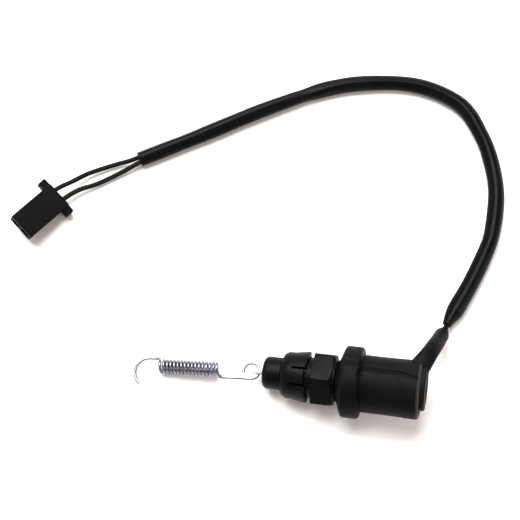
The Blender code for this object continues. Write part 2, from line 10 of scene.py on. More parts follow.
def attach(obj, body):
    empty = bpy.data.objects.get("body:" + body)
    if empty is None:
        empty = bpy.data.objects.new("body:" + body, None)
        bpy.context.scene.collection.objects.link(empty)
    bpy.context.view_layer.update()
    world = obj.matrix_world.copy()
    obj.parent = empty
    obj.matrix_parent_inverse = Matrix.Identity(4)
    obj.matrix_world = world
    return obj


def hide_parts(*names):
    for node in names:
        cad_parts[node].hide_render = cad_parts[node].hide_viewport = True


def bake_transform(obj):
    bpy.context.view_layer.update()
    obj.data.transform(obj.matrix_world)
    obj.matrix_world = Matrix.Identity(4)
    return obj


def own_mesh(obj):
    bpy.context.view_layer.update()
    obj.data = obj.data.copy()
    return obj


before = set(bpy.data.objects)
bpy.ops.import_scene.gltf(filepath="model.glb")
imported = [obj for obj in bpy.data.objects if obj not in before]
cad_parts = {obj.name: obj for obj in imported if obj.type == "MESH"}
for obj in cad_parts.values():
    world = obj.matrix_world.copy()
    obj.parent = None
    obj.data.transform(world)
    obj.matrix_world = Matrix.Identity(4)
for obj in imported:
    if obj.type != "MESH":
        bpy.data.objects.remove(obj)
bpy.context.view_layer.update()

scene = bpy.context.scene

# the switch's axis: stations count from the nose face along it
PITCH = math.radians(11.3)
NOSE = Vector((-0.005520930, 0, 0.006610613))
AXIS = Vector((math.cos(PITCH), 0, math.sin(PITCH)))
SIDE = Vector((0, 1, 0))
RISE = Vector((-math.sin(PITCH), 0, math.cos(PITCH)))

# camera: place from the nose, its tilt from straight down, its turn and its focal length
CAMERA_PLACE = (0.00888949, -0.06592761, 0.36553227)
CAMERA_TILT = math.radians(17.0)
CAMERA_TURN = math.radians(9.1)
CAMERA_NEAR = 0.01
FOCAL_PIXELS = 982.0
IMAGE_SIZE = 520.0
SENSOR = 36.0

# the lead's routes: X from the nose, Y, height
SLEEVE_ROUTE = (
    (0.0651, 0.0292, 0.0041),
    (0.0662, 0.0320, 0.0035),
    (0.0678, 0.0355, 0.0032),
    (0.0724, 0.0466, 0.0032),
    (0.0766, 0.0591, 0.0032),
    (0.0788, 0.0689, 0.0032),
    (0.0790, 0.0843, 0.0032),
    (0.0762, 0.0969, 0.0032),
    (0.0709, 0.1090, 0.0032),
    (0.0612, 0.1212, 0.0032),
    (0.0448, 0.1268, 0.0032),
    (0.0267, 0.1257, 0.0032),
    (0.0079, 0.1202, 0.0032),
    (-0.0155, 0.1075, 0.0032),
    (-0.0413, 0.0907, 0.0032),
    (-0.0625, 0.0773, 0.0032),
)
WIRE_A_ROUTE = (
    (-0.06340, 0.07797, 0.00310),
    (-0.06640, 0.07630, 0.00260),
    (-0.07213, 0.07383, 0.00200),
    (-0.08128, 0.06852, 0.00260),
    (-0.08688, 0.06320, 0.00440),
    (-0.09150, 0.05893, 0.00594),
    (-0.09412, 0.05497, 0.00660),
)
WIRE_B_ROUTE = (
    (-0.06228, 0.07620, 0.00310),
    (-0.06580, 0.07340, 0.00250),
    (-0.06951, 0.07056, 0.00200),
    (-0.07728, 0.06483, 0.00200),
    (-0.08357, 0.06086, 0.00300),
    (-0.08795, 0.05631, 0.00430),
    (-0.09058, 0.05235, 0.00497),
)
TAIL_ROUTE = (
    (0.0525, 0.0046, 0.0195),
    (0.0545, 0.0078, 0.0214),
    (0.0566, 0.0117, 0.0218),
    (0.0588, 0.0159, 0.0187),
    (0.0611, 0.0202, 0.0132),
    (0.0631, 0.0243, 0.0082),
    (0.0642, 0.0267, 0.0056),
    (0.0649, 0.0285, 0.0046),
    (0.0653, 0.0300, 0.0041),
)


def on_switch(station, across, height):
    return NOSE + AXIS * station + SIDE * across + RISE * height


def from_nose(route):
    return [Vector((p[0] + NOSE.x, p[1], p[2])) for p in route]


def aim(obj, place, target):
    obj.location = place
    obj.rotation_euler = (Vector(target) - Vector(place)).to_track_quat("-Z", "Y").to_euler()


def add_camera():
    data = bpy.data.cameras.new("camera")
    data.sensor_width = SENSOR
    data.lens = FOCAL_PIXELS / IMAGE_SIZE * SENSOR
    data.clip_start = CAMERA_NEAR
    camera = bpy.data.objects.new("camera", data)
    scene.collection.objects.link(camera)
    turn = Matrix.Rotation(CAMERA_TURN, 4, "Z")
    tilt = Matrix.Rotation(CAMERA_TILT, 4, "X")
    place = Matrix.Translation(Vector((NOSE.x, 0, 0)) + Vector(CAMERA_PLACE))
    camera.matrix_world = place @ turn @ tilt
    scene.camera = camera


# ---- node materials

# stations between which the boot's rear edge grows lighter: a painted highlight, for light
# falling on it from the right
PAINTED_RIM_LIGHT_START = 0.0562
PAINTED_RIM_LIGHT_FULL = 0.0570

# curvature between which an edge shows its wear
WEAR_START = 0.52
WEAR_FULL = 0.60

# heights of the bumps in moulded and in plated surfaces
COARSE_BUMP = 0.0002
GRAIN_BUMP = 0.00006
METAL_BUMP = 0.00003


class Nodes:
    """A material's node tree around its Principled shader."""

    def __init__(self, name):
        self.material = bpy.data.materials.new(name)
        self.material.use_nodes = True
        self.tree = self.material.node_tree
        self.shader = self.tree.nodes["Principled BSDF"]
        self.place = self.node("ShaderNodeTexCoord").outputs["Object"]

    def node(self, kind, **values):
        made = self.tree.nodes.new(kind)
        for key, value in values.items():
            setattr(made, key, value)
        return made

    def link(self, source, socket):
        self.tree.links.new(source, socket)

    def noise(self, scale, detail, roughness=0.5):
        made = self.node("ShaderNodeTexNoise")
        made.inputs["Scale"].default_value = scale
        made.inputs["Detail"].default_value = detail
        made.inputs["Roughness"].default_value = roughness
        self.link(self.place, made.inputs["Vector"])
        return made.outputs["Fac"]

    def ramp(self, source, low, high, start, end):
        made = self.node("ShaderNodeValToRGB")
        first, last = made.color_ramp.elements
        first.position, last.position = low, high
        first.color, last.color = (*start, 1.0), (*end, 1.0)
        self.link(source, made.inputs["Fac"])
        return made.outputs["Color"]

    def span(self, source, start, end, low=0.3, high=0.7):
        made = self.node("ShaderNodeMapRange")
        made.inputs["From Min"].default_value = low
        made.inputs["From Max"].default_value = high
        made.inputs["To Min"].default_value = start
        made.inputs["To Max"].default_value = end
        self.link(source, made.inputs["Value"])
        return made.outputs["Result"]

    def mixed(self, factor, a, b):
        made = self.node("ShaderNodeMix", data_type="RGBA")
        self.link(factor, made.inputs["Factor"])
        self.link(a, made.inputs["A"])
        made.inputs["B"].default_value = (*b, 1.0)
        return made.outputs["Result"]

    def worn_edges(self):
        """One along the raised edges, from the mesh's own curvature."""
        made = self.node("ShaderNodeNewGeometry").outputs["Pointiness"]
        return self.span(made, 0.0, 1.0, WEAR_START, WEAR_FULL)

    def painted_rim_light_mask(self):
        """One where the boot's rear edge turns inwards and carries a painted highlight, from the
        station along the axis.
        """
        made = self.node("ShaderNodeVectorMath", operation="DOT_PRODUCT")
        self.link(self.place, made.inputs[0])
        made.inputs[1].default_value = AXIS
        base = NOSE.dot(AXIS)
        return self.span(made.outputs["Value"], 0.0, 1.0, base + PAINTED_RIM_LIGHT_START, base + PAINTED_RIM_LIGHT_FULL)

    def bump(self, height, strength, distance, under=None):
        made = self.node("ShaderNodeBump")
        made.inputs["Strength"].default_value = strength
        made.inputs["Distance"].default_value = distance
        self.link(height, made.inputs["Height"])
        if under:
            self.link(under, made.inputs["Normal"])
        return made.outputs["Normal"]


def moulded(
    name, dark, light, rough, grain, bump, mottle=90.0, specular=0.5, edge=None, rim=None
):
    """Moulded plastic or rubber: mottled colour, fine grain, worn edges, a painted highlight on
    the boot's rim.
    """
    n = Nodes(name)
    colour = n.ramp(n.noise(mottle, 4.0), 0.35, 0.65, dark, light)
    if edge:
        colour = n.mixed(n.worn_edges(), colour, edge)
    # rim is a lighter colour painted on the boot's rear edge as a highlight
    if rim:
        colour = n.mixed(n.painted_rim_light_mask(), colour, rim)
    n.link(colour, n.shader.inputs["Base Color"])
    n.link(n.span(n.noise(mottle * 3.0, 5.0), *rough), n.shader.inputs["Roughness"])
    coarse = n.bump(n.noise(mottle * 2.0, 2.0), bump * 0.5, COARSE_BUMP)
    fine = n.bump(n.noise(grain, 4.0, 0.6), bump, GRAIN_BUMP, coarse)
    n.link(fine, n.shader.inputs["Normal"])
    n.shader.inputs["Specular IOR Level"].default_value = specular
    return n.material


def metal(name, dark, light, rough, scale, bump):
    """Bare or plated metal: slight tone changes, drawn marks, uneven polish."""
    n = Nodes(name)
    n.link(n.ramp(n.noise(scale, 4.0), 0.3, 0.7, dark, light), n.shader.inputs["Base Color"])
    n.link(n.span(n.noise(scale * 4.0, 4.0), *rough), n.shader.inputs["Roughness"])
    n.link(n.bump(n.noise(scale * 8.0, 3.0), bump, METAL_BUMP), n.shader.inputs["Normal"])
    n.shader.inputs["Metallic"].default_value = 1.0
    return n.material


MATERIALS = {
    "black_plastic": moulded(
        "black_plastic", (0.0010, 0.0012, 0.0013), (0.0020, 0.0023, 0.0025),
        (0.34, 0.46), 5200.0, 0.16, specular=0.060, edge=(0.0045, 0.0048, 0.0050),
    ),
    "black_rubber": moulded(
        "black_rubber", (0.0026, 0.0026, 0.0029), (0.0048, 0.0048, 0.0051),
        (0.42, 0.56), 3800.0, 0.24, specular=0.035, edge=(0.009, 0.009, 0.010),
    ),
    "boot_rubber_painted_rim_light": moulded(
        "boot_rubber_painted_rim_light", (0.0021, 0.0021, 0.0024), (0.0042, 0.0042, 0.0045),
        (0.42, 0.56), 3800.0, 0.24, specular=0.035, edge=(0.009, 0.009, 0.010),
        # the lighter rim colour is a painted highlight on the boot's rear edge
        rim=(0.034, 0.031, 0.029),
    ),
    "sleeve_pvc": moulded(
        "sleeve_pvc", (0.0013, 0.0019, 0.0018), (0.0024, 0.0032, 0.0030),
        (0.26, 0.38), 1500.0, 0.12, 60.0, 0.05,
    ),
    "wire_insulation": moulded(
        "wire_insulation", (0.0045, 0.0058, 0.0046), (0.0070, 0.0088, 0.0074),
        (0.30, 0.44), 2600.0, 0.10, 120.0, 0.04,
    ),
    "connector_plastic": moulded(
        "connector_plastic", (0.0026, 0.0026, 0.0024), (0.0044, 0.0042, 0.0040),
        (0.46, 0.62), 4600.0, 0.22, specular=0.025, edge=(0.010, 0.0095, 0.009),
    ),
    "white_acetal": moulded(
        "white_acetal", (0.66, 0.64, 0.70), (0.78, 0.76, 0.80),
        (0.34, 0.46), 3000.0, 0.08, 200.0,
    ),
    "zinc_steel": metal(
        "zinc_steel", (0.13, 0.14, 0.18), (0.24, 0.25, 0.29), (0.10, 0.20), 700.0, 0.10
    ),
    "spring_steel": metal(
        "spring_steel", (0.38, 0.39, 0.41), (0.52, 0.53, 0.55), (0.28, 0.42), 700.0, 0.10
    ),
    "brass": metal(
        "brass", (0.62, 0.47, 0.20), (0.78, 0.62, 0.31), (0.22, 0.38), 500.0, 0.12
    ),
    "phenolic": moulded(
        "phenolic", (0.10, 0.045, 0.018), (0.19, 0.09, 0.04),
        (0.42, 0.58), 3000.0, 0.18, 400.0,
    ),
}


# ---- pieces

# how finely a CAD solid's shape is joined before its edges are rounded
WELD = 0.000002
FLAT_ANGLE = 1.0

ROUTE_SAMPLES = 40


def finish_mesh(mesh, sharp):
    shell = bmesh.new()
    shell.from_mesh(mesh)
    bmesh.ops.recalc_face_normals(shell, faces=shell.faces)
    shell.to_mesh(mesh)
    shell.free()
    mesh.shade_smooth()
    mesh.set_sharp_from_angle(angle=math.radians(sharp))


def add_piece(name, data, slot, body):
    made = bpy.data.objects.new(name, data)
    scene.collection.objects.link(made)
    data.materials.clear()
    data.materials.append(MATERIALS[slot])
    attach(made, body)
    return made


def loft(name, rings, slot, body, closed_ends=True, sharp=40):
    """A skin over rings of equal count; the end rings are closed, or joined to each other."""
    count = len(rings[0])
    verts = [tuple(p) for ring in rings for p in ring]
    faces = []
    for i in range(len(rings) - 1 if closed_ends else len(rings)):
        a = i * count
        b = (i + 1) % len(rings) * count
        faces += [(a + j, a + (j + 1) % count, b + (j + 1) % count, b + j) for j in range(count)]
    if closed_ends:
        last = (len(rings) - 1) * count
        faces.append(tuple(range(count)))
        faces.append(tuple(range(last, last + count)))
    mesh = bpy.data.meshes.new(name)
    mesh.from_pydata(verts, [], faces)
    finish_mesh(mesh, sharp)
    return add_piece(name, mesh, slot, body)


def turned(name, outline, slot, body, segments, shape=None, closed_ends=False, sharp=40):
    """An outline of (station, radius) about the switch's axis; shape moves its points."""
    rings = []
    for i, (station, radius) in enumerate(outline):
        ring = []
        for j in range(segments):
            phi = 2 * math.pi * j / segments
            s, r = shape(i, station, radius, phi) if shape else (station, radius)
            ring.append(on_switch(s, r * math.cos(phi), r * math.sin(phi)))
        rings.append(ring)
    return loft(name, rings, slot, body, closed_ends, sharp)


def arc(centre, radius, start, end, count):
    angles = [math.radians(start + (end - start) * i / count) for i in range(count + 1)]
    return [(centre[0] + radius * math.cos(a), centre[1] + radius * math.sin(a)) for a in angles]


def run(start, end, count):
    """Points between two outline points, without the first."""
    return [
        (start[0] + (end[0] - start[0]) * i / count, start[1] + (end[1] - start[1]) * i / count)
        for i in range(1, count + 1)
    ]


def hermite(start, start_slope, end, end_slope, t):
    a = 2 * t**3 - 3 * t**2 + 1
    b = t**3 - 2 * t**2 + t
    c = -2 * t**3 + 3 * t**2
    d = t**3 - t**2
    return start * a + start_slope * b + end * c + end_slope * d


def length_of(points):
    return sum((b - a).length for a, b in zip(points, points[1:]))


def smooth_route(knots, spacing):
    """Evenly spaced points on a smooth curve through the knots."""
    knots = [2 * knots[0] - knots[1]] + list(knots) + [2 * knots[-1] - knots[-2]]
    dense = []
    for before, start, end, after in zip(knots, knots[1:], knots[2:], knots[3:]):
        into, out = (end - before) / 2, (after - start) / 2
        for i in range(ROUTE_SAMPLES):
            dense.append(hermite(start, into, end, out, i / ROUTE_SAMPLES))
    dense.append(knots[-2])
    total = length_of(dense)
    count = max(2, round(total / spacing))
    points = [dense[0]]
    walked = 0.0
    for a, b in zip(dense, dense[1:]):
        walked += (b - a).length
        if walked >= len(points) * total / count and len(points) < count:
            points.append(b)
    points.append(dense[-1])
    return points


def sweep(points, section, around):
    """Rings along the points, twisted as little as possible; section(t, angle) shapes them."""
    rings = []
    side = None
    last = len(points) - 1
    for i, point in enumerate(points):
        ahead = (points[min(i + 1, last)] - points[max(i - 1, 0)]).normalized()
        if side is None:
            side = ahead.cross(Vector((0, 0, 1))).normalized()
        side = (side - ahead * side.dot(ahead)).normalized()
        up = side.cross(ahead)
        ring = []
        for j in range(around):
            angle = 2 * math.pi * j / around
            across, rise = section(i / last, angle)
            ring.append(point + side * across + up * rise)
        rings.append(ring)
    return rings


def round_section(radius):
    def section(t, angle):
        return radius * math.cos(angle), radius * math.sin(angle)

    return section


def soft_square(wide, high, angle, power):
    """A point on an oval section that is squarer, the lower its power."""
    c, s = math.cos(angle), math.sin(angle)
    return (
        wide * math.copysign(abs(c) ** power, c),
        high * math.copysign(abs(s) ** power, s),
    )


def bake(obj):
    graph = bpy.context.evaluated_depsgraph_get()
    mesh = bpy.data.meshes.new_from_object(obj.evaluated_get(graph))
    obj.modifiers.clear()
    obj.data = mesh


def rounded(obj, width, segments=3, angle=35, sharp=35):
    edge = obj.modifiers.new("edges", "BEVEL")
    edge.width = width
    edge.segments = segments
    edge.limit_method = "ANGLE"
    edge.angle_limit = math.radians(angle)
    bake(obj)
    obj.data.shade_smooth()
    obj.data.set_sharp_from_angle(angle=math.radians(sharp))


def refined(node, name, slot, body, width):
    """A CAD solid's shape with its flats joined and its edges rounded, standing for it."""
    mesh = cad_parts[node].data.copy()
    mesh.name = name
    shell = bmesh.new()
    shell.from_mesh(mesh)
    bmesh.ops.remove_doubles(shell, verts=shell.verts, dist=WELD)
    bmesh.ops.dissolve_limit(
        shell, angle_limit=math.radians(FLAT_ANGLE), verts=shell.verts, edges=shell.edges
    )
    shell.to_mesh(mesh)
    shell.free()
    made = add_piece(name, mesh, slot, body)
    rounded(made, width)
    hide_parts(node)
    return made


def ease(value, low, high):
    t = min(1.0, max(0.0, (value - low) / (high - low)))
    return t * t * (3 - 2 * t)


add_camera()


# ---- lead: the sleeve and the tail are told by t, 0 at the switch and 1 at the far end

LEAD_SPACING = 0.0010

SLEEVE_DIAMETER = 0.0062
SLEEVE_SIDES = 48
SLEEVE_THINNER = 0.00012
SLEEVE_WAVES = ((0.00006, 31, 0.8), (0.00005, 67, 0.0))
SLEEVE_FULLER = 0.00018
SLEEVE_FULLER_END = 0.35
SLEEVE_KINK = 0.00032
SLEEVE_KINK_T = 0.695
SLEEVE_KINK_SPREAD = 0.018
SLEEVE_ROOT = 0.00165
SLEEVE_ROOT_SPAN = (-0.008, 0.034)
SLEEVE_SQUARE = 0.80
SLEEVE_SQUARE_SCALE = 0.965
SLEEVE_TWIST = 35
SLEEVE_TWIST_GROWTH = 40
SLEEVE_TWIST_BEND = 55
SLEEVE_TWIST_SPAN = (0.62, 0.76)
SHOULDER_RINGS = 6
SHOULDER_REACH = 0.0006
TABLE_GAP = 0.00004

# the cut end: share of the tube's radius and distance beyond its last ring
SLEEVE_LIP = (
    (0.985, 0.00012), (0.93, 0.00018), (0.80, 0.00018), (0.76, 0.00010), (0.75, -0.0002),
    (0.75, -0.0030),
)

WIRE_DIAMETER = 0.0019
WIRE_SIDES = 20
WIRE_TUCK = 0.0024

# the tail's half width at its root, and how much it loses between two values of t
TAIL_SPACING = 0.0007
TAIL_SIDES = 40
TAIL_ROOT = 0.0040
TAIL_LOSSES = ((0.0010, 0.0, 0.35), (0.00035, 0.35, 0.9), (0.00185, 0.74, 0.97))
TAIL_FLATNESS = 0.82
TAIL_SQUARE = 0.8

CONNECTOR_EDGE = 0.00030


def sleeve_radius(t):
    """Slightly uneven soft tube, drawn in where it leaves the tail and near its open end."""
    wave = sum(height * math.sin(rate * t + phase) for height, rate, phase in SLEEVE_WAVES)
    kink = SLEEVE_KINK * math.exp(-((t - SLEEVE_KINK_T) / SLEEVE_KINK_SPREAD) ** 2)
    fuller = SLEEVE_FULLER * (1 - ease(t, 0.0, SLEEVE_FULLER_END))
    root = SLEEVE_ROOT * (1 - ease(t, *SLEEVE_ROOT_SPAN))
    return SLEEVE_DIAMETER / 2 - SLEEVE_THINNER + wave + fuller - kink - root


def sleeve_section(t, angle):
    """A soft square turning slowly along the tube, so that its dull edges wind round it."""
    bend = SLEEVE_TWIST_BEND * ease(t, *SLEEVE_TWIST_SPAN)
    twist = math.radians(SLEEVE_TWIST + SLEEVE_TWIST_GROWTH * t + bend)
    radius = SLEEVE_SQUARE_SCALE * sleeve_radius(t)
    x, y = soft_square(radius, radius, angle - twist, SLEEVE_SQUARE)
    return (
        x * math.cos(twist) - y * math.sin(twist),
        x * math.sin(twist) + y * math.cos(twist),
    )


def build_sleeve():
    points = smooth_route(from_nose(SLEEVE_ROUTE), LEAD_SPACING)
    # the soft tube goes flat where it lies on the table
    rings = [
        [Vector((p.x, p.y, max(p.z, TABLE_GAP))) for p in ring]
        for ring in sweep(points, sleeve_section, SLEEVE_SIDES)
    ]
    start, end = points[0], points[-1]
    ahead = (points[1] - start).normalized()
    out = (end - points[-2]).normalized()
    shoulder = []
    for step in range(SHOULDER_RINGS, 0, -1):
        angle = math.radians(90 * step / SHOULDER_RINGS)
        pull = ahead * (-SHOULDER_REACH * math.sin(angle))
        shrink = (1 + math.cos(angle)) / 2
        shoulder.append([start + (p - start) * shrink + pull for p in rings[0]])
    lip = [
        [end + (p - end) * share + out * beyond for p in rings[-1]]
        for share, beyond in SLEEVE_LIP
    ]
    sleeve = loft("sleeve", shoulder + rings + lip, "sleeve_pvc", "switch")
    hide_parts("pvc_sleeve")
    return sleeve, points


def build_wire(name, node, route):
    points = smooth_route(from_nose(route), LEAD_SPACING)
    inside = points[0] - (points[1] - points[0]).normalized() * WIRE_TUCK
    points = [inside] + points
    rings = sweep(points, round_section(WIRE_DIAMETER / 2), WIRE_SIDES)
    wire = loft(name, rings, "wire_insulation", "switch")
    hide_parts(node)
    return wire, points


def tail_section(t, angle):
    wide = TAIL_ROOT - sum(loss * ease(t, low, high) for loss, low, high in TAIL_LOSSES)
    return soft_square(wide, TAIL_FLATNESS * wide, angle, TAIL_SQUARE)


def build_tail():
    """The boot's strain relief: a flattened rubber tail, flared at its root and drawn in."""
    points = smooth_route(from_nose(TAIL_ROUTE), TAIL_SPACING)
    tail = loft("tail", sweep(points, tail_section, TAIL_SIDES), "black_rubber", "switch")
    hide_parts("cable_tail")
    return tail


tail = build_tail()
connector = refined(
    "connector_housing", "connector_shell", "connector_plastic", "switch", CONNECTOR_EDGE
)
sleeve, sleeve_points = build_sleeve()
wire_a, wire_a_points = build_wire("wire_a", "lead_wire_a", WIRE_A_ROUTE)
wire_b, wire_b_points = build_wire("wire_b", "lead_wire_b", WIRE_B_ROUTE)


# ---- switch: stations and radii along its axis

# threaded barrel and the chamber behind it
BARREL_R = 0.0060
BARREL_SIDES = 96
NOSE_ROUND = 0.0018
MOUTH_R = 0.0031
MOUTH_EDGE = 0.0003
ROD_BORE_R = 0.0016
SPRING_BORE_R = 0.0038
SPRING_BORE_START = 0.0090
CHAMBER_R = 0.0086
CHAMBER_BORE_R = 0.0073
CHAMBER_START = 0.0304
CHAMBER_FLOOR = 0.0318
CHAMBER_END = 0.0450
THREAD_START = 0.0066
THREAD_END = 0.0288
THREAD_PITCH = 0.0015
THREAD_DEPTH = 0.00085
THREAD_STEPS = 150
THREAD_FADE = 0.0012
THREAD_FLANK = 1.35
THREAD_CREST = 0.17

# plunger: the rod, its flattened tip and the spring's eye
ROD_R = 0.00125
ROD_START = -0.0010
ROD_END = 0.0410
ROD_SIDES = 32
ROD_EDGE = 0.00012
TIP_MIDDLE = -0.0026
TIP_HALF = (0.0020, 0.0010, 0.0017)
TIP_ROUND = 0.0007
EYE_S = -0.0020
EYE_R = 0.00105
EYE_SIDES = 32
EYE_DEPTH = 0.008

NUT_EDGE = 0.00016

# boot: the lip ahead of its collar, the collar, the body and the open rear
BOOT_SIDES = 180
LIP_START = 0.0276
LIP_BORE_R = 0.0063
LIP_R = 0.0074
LIP_EDGE = (0.0278, 0.0077)
COLLAR_FRONT = (0.0306, 0.0118)
COLLAR_FRONT_ROUND = 0.0010
COLLAR_BACK = (0.0351, 0.0119)
COLLAR_BACK_ROUND = 0.0009
COLLAR_FOOT = (0.0360, 0.01045)
BOOT_NECK = [(0.0362, 0.0100), (0.0366, 0.00995)]
BODY_START = (0.0371, 0.0102)
BOOT_RIM = (0.0563, 0.0092)
BOOT_RIM_ROUND = 0.0012
BOOT_MOUTH = [(0.0573, 0.0088), (0.0567, 0.0085), (0.0566, 0.0080), (0.0566, 0.0040)]
BOOT_INSIDE = [(0.0558, 0.0040), (0.0558, 0.0090), (0.0304, 0.0090)]

# the boot's raised back half, in degrees round from +Y, and its slight waist
MOULDED_FROM = 0.0288
MOULDED_OUTSIDE_R = 0.0085
CREASE_ANGLE = 68
CREASE_TURN = 9
CREASE_TURN_SPAN = (0.0490, 0.0575)
LOBE_HEIGHT = 0.00038
LOBE_SLOPE = 7
LOBE_FAR_SPAN = (-42, -34)
GROOVE_DEPTH = 0.00050
GROOVE_PAST_EDGE = 1.0
GROOVE_SPREAD = 2.4
WAIST_DEPTH = 0.00012
WAIST_START = 0.037
WAIST_LENGTH = 0.019

# end disc
CAP_SIDES = 96
CAP_START = 0.0560
CAP_CENTRE_R = 0.0001
CAP_R = 0.0078
CAP_CORNER = (0.0585, 0.0076)
CAP_ROUND = 0.0008
CAP_FACE = 0.0593
CAP_DISH = ((0.0593, 0.0060), (0.0590, 0.0056))
CAP_ACROSS = 0.0012
CAP_RISE = 0.0008

# pull spring, in its own frame: X away from the switch, from the plunger's eye
WIRE_R = 0.000575
PULL_WIRE_SIDES = 12
LOOP_R = 0.0029
LOOP_TIP = math.radians(200)
COIL_R = 0.00228
COIL_START = 0.0154
COIL_TURNS = 16
COIL_PITCH = 0.00134
COIL_FIRST = 1 / 6
COIL_LAST = COIL_TURNS + 1 / 3
COIL_LEAD = 0.0020
HOOK_R = 0.0053
HOOK_X = 0.0413
HOOK_Y = 0.00245
HOOK_TIP = math.radians(233)
SPRING_YAW = math.radians(5.2)
SPRING_SLOPE = math.radians(5.127339)
LOOP_STEPS = 48
ARM_STEPS = 8
LEAD_STEPS = 16
TURN_STEPS = 32
HOOK_STEPS = 40

# return spring, about the rod
RETURN_TURNS = 7
RETURN_START = 0.0094
RETURN_END = 0.0238
RETURN_R = 0.0026
RETURN_WIRE_R = 0.0003
RETURN_WIRE_SIDES = 8
RETURN_STEPS = 24


def build_barrel():
    """Threaded barrel and the chamber behind it, one moulding."""
    outline = [(NOSE_ROUND, MOUTH_R), (MOUTH_EDGE, MOUTH_R), (0, MOUTH_R + MOUTH_EDGE)]
    outline += arc((NOSE_ROUND, BARREL_R - NOSE_ROUND), NOSE_ROUND, 180, 90, 8)
    outline += run((NOSE_ROUND, BARREL_R), (THREAD_START, BARREL_R), 6)
    threaded = range(len(outline), len(outline) + THREAD_STEPS)
    outline += run((THREAD_START, BARREL_R), (THREAD_END, BARREL_R), THREAD_STEPS)
    outline += [
        (CHAMBER_START, BARREL_R), (CHAMBER_START, CHAMBER_R), (CHAMBER_END, CHAMBER_R),
        (CHAMBER_END, CHAMBER_BORE_R), (CHAMBER_FLOOR, CHAMBER_BORE_R),
        (CHAMBER_FLOOR, SPRING_BORE_R), (SPRING_BORE_START, SPRING_BORE_R),
        (SPRING_BORE_START, ROD_BORE_R), (NOSE_ROUND, ROD_BORE_R),
    ]

    def shape(i, station, radius, phi):
        if i not in threaded:
            return station, radius
        phase = (station / THREAD_PITCH - phi / (2 * math.pi)) % 1.0
        cut = min(1.0, max(0.0, (1 - abs(2 * phase - 1)) * THREAD_FLANK - THREAD_CREST))
        fade = ease(station, THREAD_START, THREAD_START + THREAD_FADE)
        fade *= 1 - ease(station, THREAD_END - THREAD_FADE, THREAD_END)
        return station, radius - THREAD_DEPTH * cut * fade

    barrel = turned("barrel", outline, "black_plastic", "switch", BARREL_SIDES, shape, sharp=50)
    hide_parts("switch_housing")


def tool_object(name, shell):
    """A loose mesh that shapes another and is removed afterwards."""
    mesh = bpy.data.meshes.new(name)
    shell.to_mesh(mesh)
    shell.free()
    made = bpy.data.objects.new(name, mesh)
    scene.collection.objects.link(made)
    return made


def build_plunger():
    """White rod with a flattened, rounded tip and the spring's eye through it."""
    outline = [(ROD_START, ROD_R), (ROD_END, ROD_R)]
    rod = turned("plunger", outline, "white_acetal", "plunger", ROD_SIDES, closed_ends=True)
    block = bmesh.new()
    bmesh.ops.create_cube(block, size=2.0)
    for vertex in block.verts:
        x, y, z = (unit * half for unit, half in zip(vertex.co, TIP_HALF))
        vertex.co = on_switch(TIP_MIDDLE + x, y, z)
    tip = tool_object("tip", block)
    rounded(tip, TIP_ROUND, 5)
    drill = bmesh.new()
    bmesh.ops.create_cone(
        drill, cap_ends=True, segments=EYE_SIDES, radius1=EYE_R, radius2=EYE_R, depth=EYE_DEPTH
    )
    eye = tool_object("eye", drill)
    eye.location = on_switch(EYE_S, 0, 0)
    eye.rotation_euler = (math.radians(90), 0, 0)
    for other, operation in ((tip, "UNION"), (eye, "DIFFERENCE")):
        step = rod.modifiers.new(other.name, "BOOLEAN")
        step.object = other
        step.operation = operation
        step.solver = "EXACT"
    bake(rod)
    rounded(rod, ROD_EDGE, 2, 50, 40)
    for other in (tip, eye):
        bpy.data.objects.remove(other)
    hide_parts("plunger_rod")


def boot_shape(i, station, radius, phi):
    """The raised back half with the groove along its edge, and the waist of the body."""
    if station < MOULDED_FROM or radius < MOULDED_OUTSIDE_R:
        return station, radius
    edge = CREASE_ANGLE + CREASE_TURN * ease(station, *CREASE_TURN_SPAN)
    angle = math.degrees(phi)
    angle = angle - 360 if angle > 180 else angle
    lobe = (1 - ease(angle, edge - LOBE_SLOPE, edge)) * ease(angle, *LOBE_FAR_SPAN)
    groove = math.exp(-((angle - edge - GROOVE_PAST_EDGE) / GROOVE_SPREAD) ** 2)
    along = min(1, max(0, (station - WAIST_START) / WAIST_LENGTH))
    waist = WAIST_DEPTH * math.sin(math.pi * along)
    return station, radius + LOBE_HEIGHT * lobe - GROOVE_DEPTH * groove - waist


def build_boot():
    """Thick-collared cup with a raised back half, a rounded rim and an open rear."""
    front = arc(COLLAR_FRONT, COLLAR_FRONT_ROUND, 165, 90, 6)
    back = arc(COLLAR_BACK, COLLAR_BACK_ROUND, 90, 0, 6)
    rear = arc(BOOT_RIM, BOOT_RIM_ROUND, 90, 0, 8)
    outline = [(CHAMBER_START, LIP_BORE_R), (LIP_START, LIP_BORE_R), (LIP_START, LIP_R), LIP_EDGE]
    outline += run(LIP_EDGE, front[0], 5)
    outline += front[1:]
    outline += run(front[-1], back[0], 5)
    outline += back[1:]
    outline += run(back[-1], COLLAR_FOOT, 3)
    outline += BOOT_NECK + [BODY_START]
    outline += run(BODY_START, rear[0], 26)
    outline += rear[1:]
    outline += BOOT_MOUTH + BOOT_INSIDE
    boot = turned("boot", outline, "black_rubber", "switch", BOOT_SIDES, boot_shape, sharp=60)
    # the boot's material carries the painted highlight on its rear edge
    boot.data.materials[0] = MATERIALS["boot_rubber_painted_rim_light"]
    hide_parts("rubber_boot")


